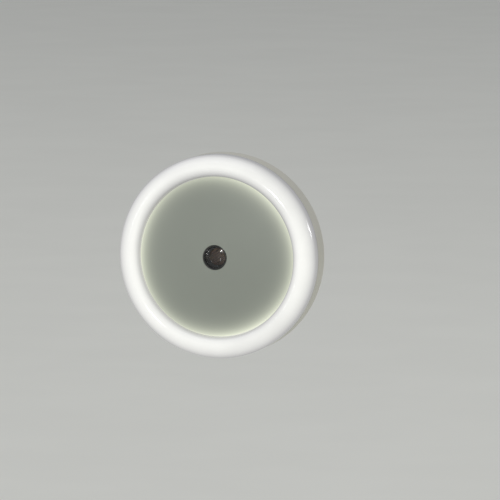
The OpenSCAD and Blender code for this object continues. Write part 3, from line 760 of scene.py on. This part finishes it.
def grain(tree, size, detail=2.0, stretch=(1, 1, 1)):
    """Noise whose features are about `size` millimetres across, longer where stretched."""
    mapping = tree.nodes.new("ShaderNodeMapping")
    mapping.inputs["Scale"].default_value = tuple(1 / s for s in stretch)
    tree.links.new(place_on(tree), mapping.inputs["Vector"])
    noise = tree.nodes.new("ShaderNodeTexNoise")
    noise.inputs["Scale"].default_value = 1 / (size * MM)
    noise.inputs["Detail"].default_value = detail
    tree.links.new(mapping.outputs["Vector"], noise.inputs["Vector"])
    return noise.outputs["Fac"]


def between(tree, value, low, high, from_low=0.3, from_high=0.7):
    """Stretch a varying value to run from low to high."""
    node = tree.nodes.new("ShaderNodeMapRange")
    node.inputs["From Min"].default_value = from_low
    node.inputs["From Max"].default_value = from_high
    node.inputs["To Min"].default_value = low
    node.inputs["To Max"].default_value = high
    tree.links.new(value, node.inputs["Value"])
    return node.outputs["Result"]


def ramp(tree, value, stops):
    """Colour along a value, from stops of (position, colour)."""
    node = tree.nodes.new("ShaderNodeValToRGB")
    elements = node.color_ramp.elements
    while len(elements) < len(stops):
        elements.new(0.5)
    for element, (position, colour) in zip(elements, stops):
        element.position = position
        element.color = (*colour, 1)
    tree.links.new(value, node.inputs["Fac"])
    return node.outputs["Color"]


def shade(colour, factor):
    """The same colour, lighter or darker."""
    return tuple(c * factor for c in colour)


def add_bump(tree, shader, height, depth):
    """Raise the surface by `depth` millimetres where height is one."""
    bump = tree.nodes.new("ShaderNodeBump")
    bump.inputs["Distance"].default_value = depth * MM
    tree.links.new(height, bump.inputs["Height"])
    tree.links.new(bump.outputs["Normal"], shader.inputs["Normal"])


def moulded(name, colour, roughness=0.4, mottle=0.03, mottle_size=9.0, grain_size=0.12,
            grain_depth=0.004, coat=0.0):
    """Moulded plastic: slow mottling, fine mould grain and slightly uneven gloss."""
    material, tree, shader = start_finish(name)
    cloud = grain(tree, mottle_size, detail=3.0)
    stops = [(0.35, shade(colour, 1 - mottle)), (0.65, shade(colour, 1 + mottle))]
    tree.links.new(ramp(tree, cloud, stops), shader.inputs["Base Color"])
    fine = grain(tree, grain_size)
    tree.links.new(between(tree, fine, roughness - GLOSS_CHANGE, roughness + GLOSS_CHANGE),
                   shader.inputs["Roughness"])
    add_bump(tree, shader, fine, grain_depth)
    shader.inputs["Coat Weight"].default_value = coat
    shader.inputs["Coat Roughness"].default_value = COAT_ROUGHNESS
    return material


def worked_metal(name, colour, roughness=0.25, line_size=0.08, stretch=(1, 12, 1)):
    """Metal with slow patches and fine marks, which run longer where stretched."""
    material, tree, shader = start_finish(name)
    shader.inputs["Metallic"].default_value = 1.0
    lines = grain(tree, line_size, stretch=stretch)
    stops = [(0.3, shade(colour, 0.9)), (0.7, shade(colour, 1.06))]
    patches = grain(tree, METAL_PATCHES)
    tree.links.new(ramp(tree, patches, stops), shader.inputs["Base Color"])
    tree.links.new(between(tree, lines, roughness - 0.04, roughness + 0.05),
                   shader.inputs["Roughness"])
    add_bump(tree, shader, lines, METAL_MARK_DEPTH)
    return material


# %% [markdown]
# ## Values that change across the lamp
#
# The ring glows, and the disc carries painted light at its edge; both change from place to
# place. These small functions turn the place of a point into a value: how far it lies along a
# way, how far from the lamp's axis, or where it stands in a number of waves round that axis.
# Math nodes then combine the values.

# %% Helpers for the glow
def axis_of(tree, name):
    """One coordinate of the point: X, Y or Z, in metres."""
    parts = tree.nodes.new("ShaderNodeSeparateXYZ")
    tree.links.new(place_on(tree), parts.inputs["Vector"])
    return parts.outputs[name]


def distance_from_axis(tree):
    """Distance of the point from the lamp's axis, in metres."""
    flat = tree.nodes.new("ShaderNodeVectorMath")
    flat.operation = "MULTIPLY"
    flat.inputs[1].default_value = (1, 0, 1)
    tree.links.new(place_on(tree), flat.inputs[0])
    length = tree.nodes.new("ShaderNodeVectorMath")
    length.operation = "LENGTH"
    tree.links.new(flat.outputs["Vector"], length.inputs[0])
    return length.outputs["Value"]


def calculate(tree, operation, *values):
    """One math node, fed with varying values and plain numbers."""
    node = tree.nodes.new("ShaderNodeMath")
    node.operation = operation
    for socket, value in zip(node.inputs, values):
        if isinstance(value, (int, float)):
            socket.default_value = value
        else:
            tree.links.new(value, socket)
    return node.outputs["Value"]


def times(tree, *values):
    """The product of several varying values."""
    product = values[0]
    for value in values[1:]:
        product = calculate(tree, "MULTIPLY", product, value)
    return product


def along_way(tree, way, low, high):
    """A value that runs from low to high across the lamp along a way."""
    dot = tree.nodes.new("ShaderNodeVectorMath")
    dot.operation = "DOT_PRODUCT"
    dot.inputs[1].default_value = way
    tree.links.new(place_on(tree), dot.inputs[0])
    return between(tree, dot.outputs["Value"], low, high, -body_r * MM, body_r * MM)


def waves_round(tree, count, first_degrees, low, high):
    """A value that swells to high `count` times round the axis, first at an angle."""
    angle = calculate(tree, "ARCTAN2", axis_of(tree, "Z"), axis_of(tree, "X"))
    phase = calculate(tree, "MULTIPLY_ADD", angle, count, -count * math.radians(first_degrees))
    return between(tree, calculate(tree, "COSINE", phase), low, high, -1, 1)


def fading(tree, value, lowest):
    """One where the value is zero, falling to `lowest` where the value is one."""
    node = tree.nodes.new("ShaderNodeMapRange")
    node.inputs["To Min"].default_value = 1
    tree.links.new(value, node.inputs["Value"])
    tree.links.new(lowest, node.inputs["To Max"])
    return node.outputs["Result"]


# %% [markdown]
# ## The glowing ring's finish
#
# The ring is opal plastic with LEDs behind it: light wanders inside the wall and leaves it
# in all directions, but less of it at a shallow angle, because there the last stretch
# through the skin is longer. That is why the band looks white where it faces us and greyer
# at both edges, from any side. The skin here is the shader's own clear coat with a grey
# tint, which holds back more light at a shallow angle, and the glow lies below it.
#
# The glow isn't even either. It falls off from the crest back to the seam, and most of all in
# the last stretch, where the spigot's root thickens the wall. How far it falls there is painted
# shade: least at the upper left and most at the lower right. Towards the disc it is painted
# shade above, where it falls off, and painted light below, where it rises a little. Painted
# light also makes it brightest on the left and makes it swell twice round the ring, at the left
# and right sides; more faintly, it swells four times round. A pair of numbers is what a change
# lets through at its two ends; where it has a way, the first is against it and the second along
# it. A set of waves is a count, the angle of the first swell in degrees, and what a dip and a
# swell let through. All of it follows the lamp's own axes, so it stays on the ring in every
# view.

# %% Opal plastic
OPAL_COLOUR = (0.93, 0.93, 0.95)
OPAL_IOR = 1.49
OPAL_CLOUDS = 6.0
OPAL_ROUGHNESS = (0.10, 0.14)
ROUGHNESS_PATCHES = 0.8
SKIN_TINT = (0.47, 0.465, 0.495)
SKIN_IOR = 1.2
SKIN_ROUGHNESS = 0.04
RING_GLOW = (1.0, 1.015, 0.87)
RING_GLOW_LEVEL = 1.50
CREST_ZONE_R = 27.5
SEAM_ZONE = 0.9
SEAM_GLOW = 0.75
# Painted light: the ring's glow is made brighter on the left and dimmer on the right.
LEFT_LIGHT_WAY = Vector((-0.99, 0, 0.14))
LEFT_PAINTED_LIGHT = (0.893, 1.109)
# Painted shade: how far the outside falls off towards the seam, least at the upper left, most
# at the lower right.
OUTER_SHADE_WAY = Vector((-0.7, 0, 0.7))
OUTER_PAINTED_SHADE = (0.55, 0.75)
# Painted shade and light: towards the disc the glow is dimmed above and raised a little below.
INNER_SHADE_WAY = Vector((-0.25, 0, 0.97))
INNER_PAINTED_SHADE_AND_LIGHT = (1.10, 0.50)
CLOUD_GLOW = (0.98, 1.02)
# Painted light: two swells, at the left and right sides, with dips at the top and bottom.
SIDE_LIGHT_WAVES = (2, 0, 0.91, 1.09)
FOUR_WAVES = (4, -5, 0.955, 1.045)

opal_plastic, tree, shader = start_finish("opal_plastic")
cloud = grain(tree, OPAL_CLOUDS, detail=3.0)
stops = [(0.35, shade(OPAL_COLOUR, 0.98)), (0.65, OPAL_COLOUR)]
tree.links.new(ramp(tree, cloud, stops), shader.inputs["Base Color"])
tree.links.new(between(tree, grain(tree, ROUGHNESS_PATCHES), *OPAL_ROUGHNESS),
               shader.inputs["Roughness"])
shader.inputs["IOR"].default_value = OPAL_IOR
shader.inputs["Coat Weight"].default_value = 1.0
shader.inputs["Coat IOR"].default_value = SKIN_IOR
shader.inputs["Coat Roughness"].default_value = SKIN_ROUGHNESS
shader.inputs["Coat Tint"].default_value = (*SKIN_TINT, 1)
back_from_crest = between(tree, axis_of(tree, "Y"), 0, 1, -crest_f * MM, -joint_f * MM)
# The fall-off towards the seam is the glow's own; how far it falls in each direction is painted
# shade.
outside = fading(tree, back_from_crest, along_way(tree, OUTER_SHADE_WAY, *OUTER_PAINTED_SHADE))
in_from_crest = between(tree, distance_from_axis(tree), 1, 0, ring_in_r * MM, CREST_ZONE_R * MM)
# Painted shade above and painted light below, on the inner slope towards the disc.
inside = fading(tree, in_from_crest, along_way(tree, INNER_SHADE_WAY, *INNER_PAINTED_SHADE_AND_LIGHT))
at_seam = between(tree, axis_of(tree, "Y"), 1, SEAM_GLOW,
                  -(joint_f + SEAM_ZONE) * MM, -joint_f * MM)
# The left-to-right change and the two swells in these patches are painted light.
patches = times(tree, between(tree, cloud, *CLOUD_GLOW), waves_round(tree, *SIDE_LIGHT_WAVES),
                waves_round(tree, *FOUR_WAVES),
                along_way(tree, LEFT_LIGHT_WAY, *LEFT_PAINTED_LIGHT), at_seam)
glow_stops = [(0.0, (0, 0, 0)), (1.0, RING_GLOW)]
tree.links.new(ramp(tree, times(tree, outside, inside, patches), glow_stops),
               shader.inputs["Emission Color"])
shader.inputs["Emission Strength"].default_value = RING_GLOW_LEVEL
opal_plastic.cycles.emission_sampling = "NONE"
light_ring.data.materials.append(opal_plastic)
print("opal_plastic has", len(tree.nodes), "nodes")

# %% [markdown]
# ## The face disc's finish
#
# The disc is a fine satin off-white. Its colour is painted shade: darker and greener, as it
# looks beside the bright ring. Its edge carries painted light, a little yellow: the ring's
# light on the edge, fading within a few millimetres. The painted light falls by an e-fold every
# 1.7 mm from the disc's edge. It is stronger below than above and swells three times round,
# perhaps because the disc doesn't sit at quite the same depth everywhere.

# %% Face plastic
# Painted shade: the face's colour is darker and greener than the housing's off-white.
FACE_SHADED_COLOUR = (0.332, 0.355, 0.306)
# Painted light on the disc's edge: its colour, strength, fade, way and swells.
EDGE_PAINTED_LIGHT = (1.0, 1.03, 0.82)
EDGE_PAINTED_LIGHT_LEVEL = 0.60
EDGE_PAINTED_LIGHT_FADE = 1.7
EDGE_LIGHT_WAY = Vector((0.25, 0, -0.97))
EDGE_PAINTED_LIGHT_WAY = (0.72, 0.92)
EDGE_LIGHT_WAVES = (3, 49, 0.78, 1.22)

face_plastic = moulded("face_plastic", FACE_SHADED_COLOUR, roughness=0.42, mottle=0.012,
                       mottle_size=14.0, grain_size=0.1, grain_depth=0.003)
tree = face_plastic.node_tree
shader = next(n for n in tree.nodes if n.type == "BSDF_PRINCIPLED")


def fade_from(tree, distance, start, length):
    """One at `start` millimetres, falling by e-folds of `length` below it."""
    folds = calculate(tree, "MULTIPLY_ADD", distance, 1 / (length * MM), -start / length)
    return calculate(tree, "EXPONENT", folds)


# Painted light: the ring's light on the disc's edge, fading inwards, stronger below and
# swelling three times round.
edge_painted_light = times(tree, fade_from(tree, distance_from_axis(tree), disc_r, EDGE_PAINTED_LIGHT_FADE),
                  along_way(tree, EDGE_LIGHT_WAY, *EDGE_PAINTED_LIGHT_WAY), waves_round(tree, *EDGE_LIGHT_WAVES))
tree.links.new(ramp(tree, edge_painted_light, [(0.0, (0, 0, 0)), (1.0, EDGE_PAINTED_LIGHT)]),
               shader.inputs["Emission Color"])
shader.inputs["Emission Strength"].default_value = EDGE_PAINTED_LIGHT_LEVEL
face_disc.data.materials.append(face_plastic)
print("face_plastic has", len(tree.nodes), "nodes")

# %% [markdown]
# ## Finishes for the rest
#
# The housing is the same family of plastic as the face and has a lighter, warmer colour; the
# face's darker, greener colour is painted shade. The collar is black and shiny, so its steps
# catch the light. The window is clear and hardly rough, the photocell is a dull brown with a
# darker, glossier track, the pins are nickel-plated and the screws are zinc-plated.

# %% Other outside finishes
WINDOW_TINT = (0.96, 0.98, 0.97)
WINDOW_CLOUDS = 2.0
WINDOW_ROUGHNESS = (0.05, 0.08)
WINDOW_IOR = 1.30

housing_plastic = moulded("housing_plastic", (0.62, 0.605, 0.525), roughness=0.36,
                          mottle=0.015, mottle_size=12.0)
black_plastic = moulded("black_plastic", (0.006, 0.0065, 0.0055), roughness=0.2, mottle=0.2,
                        mottle_size=1.5, grain_size=0.06, grain_depth=0.001, coat=0.6)
cell_ceramic = moulded("cell_ceramic", (0.10, 0.055, 0.03), roughness=0.6, mottle=0.3,
                       mottle_size=0.8, grain_size=0.08, grain_depth=0.01)
cell_track = moulded("cell_track", (0.03, 0.008, 0.005), roughness=0.4, mottle=0.3,
                     mottle_size=0.4, grain_size=0.05, grain_depth=0.004, coat=0.4)
sleeve_plastic = moulded("sleeve_plastic", (0.62, 0.61, 0.56), roughness=0.45)
nickel_brass = worked_metal("nickel_brass", (0.66, 0.63, 0.56), roughness=0.22)
screw_steel = worked_metal("screw_steel", (0.50, 0.51, 0.52), roughness=0.32,
                           stretch=(1, 1, 1))

clear_window, tree, shader = start_finish("clear_window")
stops = [(0.4, WINDOW_TINT), (0.6, (1, 1, 1))]
tree.links.new(ramp(tree, grain(tree, WINDOW_CLOUDS), stops), shader.inputs["Base Color"])
tree.links.new(between(tree, grain(tree, ROUGHNESS_PATCHES), *WINDOW_ROUGHNESS),
               shader.inputs["Roughness"])
shader.inputs["Transmission Weight"].default_value = 1.0
shader.inputs["IOR"].default_value = WINDOW_IOR

for piece, material in ((rear_housing, housing_plastic), (sensor_collar, black_plastic),
                        (sensor_window, clear_window), (photocell, cell_ceramic),
                        (photocell_track, cell_track),
                        *((pin, nickel_brass) for pin in pins),
                        *((sleeve, sleeve_plastic) for sleeve in sleeves),
                        *((screw, screw_steel) for screw in screws)):
    piece.data.materials.append(material)
    print(piece.name, "is finished in", material.name)

# %% [markdown]
# ## Finishes for what is inside
#
# The parts inside keep the solid model's own shapes, which are right as they are. They are
# hidden while the lamp is closed, but they are dressed too, since a lamp like this is also
# looked at opened up.

# %% Inside finishes
PHOSPHOR_GLOW = (1.0, 0.95, 0.82)
PHOSPHOR_GLOW_LEVEL = 4.0

board_laminate = moulded("board_laminate", (0.035, 0.16, 0.07), roughness=0.3, mottle=0.15,
                         mottle_size=1.2, grain_size=0.25, grain_depth=0.004, coat=0.5)
led_white = moulded("led_white", (0.85, 0.84, 0.80), roughness=0.45, grain_size=0.05)
capacitor_case = moulded("capacitor_case", (0.62, 0.38, 0.045), roughness=0.3, coat=0.4)
resistor_coat = moulded("resistor_coat", (0.08, 0.19, 0.36), roughness=0.5, mottle=0.1,
                        mottle_size=0.8, grain_size=0.15, grain_depth=0.01)
diode_glass = moulded("diode_glass", (0.42, 0.10, 0.03), roughness=0.12, mottle=0.1,
                      mottle_size=0.6, coat=1.0)
chip_black = moulded("chip_black", (0.02, 0.02, 0.022), roughness=0.55, mottle=0.1,
                     mottle_size=0.8, grain_size=0.06)
clamp_plastic = moulded("clamp_plastic", (0.28, 0.28, 0.26), roughness=0.5)
brown_insulation = moulded("brown_insulation", (0.09, 0.035, 0.016), roughness=0.42)
blue_insulation = moulded("blue_insulation", (0.02, 0.07, 0.28), roughness=0.42)
capacitor_can = worked_metal("capacitor_can", (0.72, 0.73, 0.74), roughness=0.25)
tinned_wire = worked_metal("tinned_wire", (0.68, 0.69, 0.70), roughness=0.28)
solder = worked_metal("solder", (0.62, 0.63, 0.64), roughness=0.2, line_size=0.3,
                      stretch=(1, 1, 1))
copper = worked_metal("copper", (0.75, 0.32, 0.15), roughness=0.3)

led_phosphor = moulded("led_phosphor", (0.85, 0.62, 0.10), roughness=0.35, mottle=0.08,
                       mottle_size=0.3, grain_size=0.05)
shader = next(n for n in led_phosphor.node_tree.nodes if n.type == "BSDF_PRINCIPLED")
shader.inputs["Emission Color"].default_value = (*PHOSPHOR_GLOW, 1)
shader.inputs["Emission Strength"].default_value = PHOSPHOR_GLOW_LEVEL
led_phosphor.cycles.emission_sampling = "NONE"

INSIDE = {
    "photocell_leads": tinned_wire, "circuit_board": board_laminate,
    "led_packages": led_white, "led_phosphors": led_phosphor,
    "dropper_capacitor": capacitor_case, "dropper_capacitor_leads": tinned_wire,
    "smoothing_capacitor": capacitor_can, "smoothing_capacitor_base": chip_black,
    "rectifier_body": chip_black, "rectifier_legs": tinned_wire,
    "fusible_resistor": resistor_coat, "fusible_resistor_leads": tinned_wire,
    "chip_resistors": chip_black, "driver_transistor": chip_black,
    "zener_diode": diode_glass, "solder_joints": solder, "pin_clamp": clamp_plastic,
    "clamp_screw": screw_steel, "live_wire": brown_insulation,
    "neutral_wire": blue_insulation, "wire_cores": copper,
}
for node, material in INSIDE.items():
    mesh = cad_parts[node].data
    mesh.materials.clear()
    mesh.materials.append(material)
print("dressed", len(INSIDE), "inside parts")

# %% [markdown]
# ## Which piece stands for which part
#
# Each row gives a new piece, the solid it stands for and the finish that it takes from the
# record. Every new piece moves with the lamp's one body and hides that solid.

# %% Ride and replace
STAND_INS = [
    (rear_housing, "rear_housing", "housing_plastic"),
    (light_ring, "light_ring", "opal_plastic"),
    (face_disc, "face_disc", "face_plastic"),
    (sensor_collar, "sensor_collar", "black_plastic"),
    (sensor_window, "sensor_window", "clear_window"),
    (photocell, "photocell_body", "cell_ceramic"),
    (photocell_track, "photocell_track", "cell_track"),
    (pins[0], "plug_pin_left", "nickel_brass"),
    (pins[1], "plug_pin_right", "nickel_brass"),
    (sleeves[0], "pin_sleeve_left", "sleeve_plastic"),
    (sleeves[1], "pin_sleeve_right", "sleeve_plastic"),
    *((screw, "housing_screws", "screw_steel") for screw in screws),
]
for piece, node, slot in STAND_INS:
    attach(piece, "root")
    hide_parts(node)
print("pieces that stand for solids:", len(STAND_INS))

# %% [markdown]
# ## Floor
#
# The lamp hangs in front of nothing: below it lies a plain pale floor, far enough down to
# stay soft.

# %% Floor
FLOOR_DROP = 0.14
FLOOR_HALF = 8.0
FLOOR_COLOUR = (0.80, 0.80, 0.75)

bm = bmesh.new()
bmesh.ops.create_grid(bm, x_segments=1, y_segments=1, size=FLOOR_HALF)
bmesh.ops.translate(bm, verts=bm.verts, vec=(0, 0, -FLOOR_DROP))
floor = keep_mesh(bm, "floor")
floor.data.materials.append(moulded("floor_paint", FLOOR_COLOUR, roughness=0.8, mottle=0.01,
                                    mottle_size=60.0, grain_size=1.0, grain_depth=0.01))
print("floor", FLOOR_DROP, "m below the lamp's axis")

# %% [markdown]
# ## Studio light
#
# The light is a pale sky on all sides with one broad soft panel above. Three small panels are
# there for what they mirror in: a strip on the right draws the fine glint on the ring's side,
# and two little windows in front, one square and one tall, make the two highlights on the
# sensor's window. They are weak, so they change little else.

# %% Studio light
SKY = (0.95, 0.97, 1.0)
SKY_LEVEL = 0.40
STRIP_FROM = Vector((0.946, 0.639, 0.342))
STRIP_TO = Vector((0.879, 0.775, 0.174))
STRIP_WIDTH = 0.14
STRIP_WATTS = 1.7
PANELS = [
    ("overhead", (-0.9, -0.4, 2.6), (3.2, 3.2), 30.0),
    ("small_window", (-0.11, -1.5, 0.15), (0.085, 0.085), 2.2),
    ("tall_window", (-0.825, -1.26, 0.05), (0.08, 0.28), 0.9),
]


def panel(name, place, size, watts, along=Vector((1, 0, 0))):
    """A soft light panel at a place in metres, facing the lamp, its width laid along a way."""
    data = bpy.data.lights.new(name, "AREA")
    data.shape = "RECTANGLE"
    data.size, data.size_y = size
    data.energy = watts
    light = bpy.data.objects.new(name, data)
    away = (Vector(place) - ring_middle).normalized()
    side = (along - away * along.dot(away)).normalized()
    turned = Matrix((side, away.cross(side), away)).transposed()
    light.matrix_world = Matrix.Translation(place) @ turned.to_4x4()
    light.visible_camera = False
    bpy.context.scene.collection.objects.link(light)
    print("light", name, "gives", watts, "W")


world = bpy.data.worlds.new("studio")
world.use_nodes = True
world.node_tree.nodes["Background"].inputs["Color"].default_value = (*SKY, 1)
world.node_tree.nodes["Background"].inputs["Strength"].default_value = SKY_LEVEL
bpy.context.scene.world = world
for name, place, size, watts in PANELS:
    panel(name, place, size, watts)
strip_way = STRIP_TO - STRIP_FROM
panel("right_strip", (STRIP_FROM + STRIP_TO) / 2, (strip_way.length, STRIP_WIDTH), STRIP_WATTS,
      strip_way)

scene = bpy.context.scene
scene.view_settings.view_transform = "Standard"
scene.view_settings.look = "None"
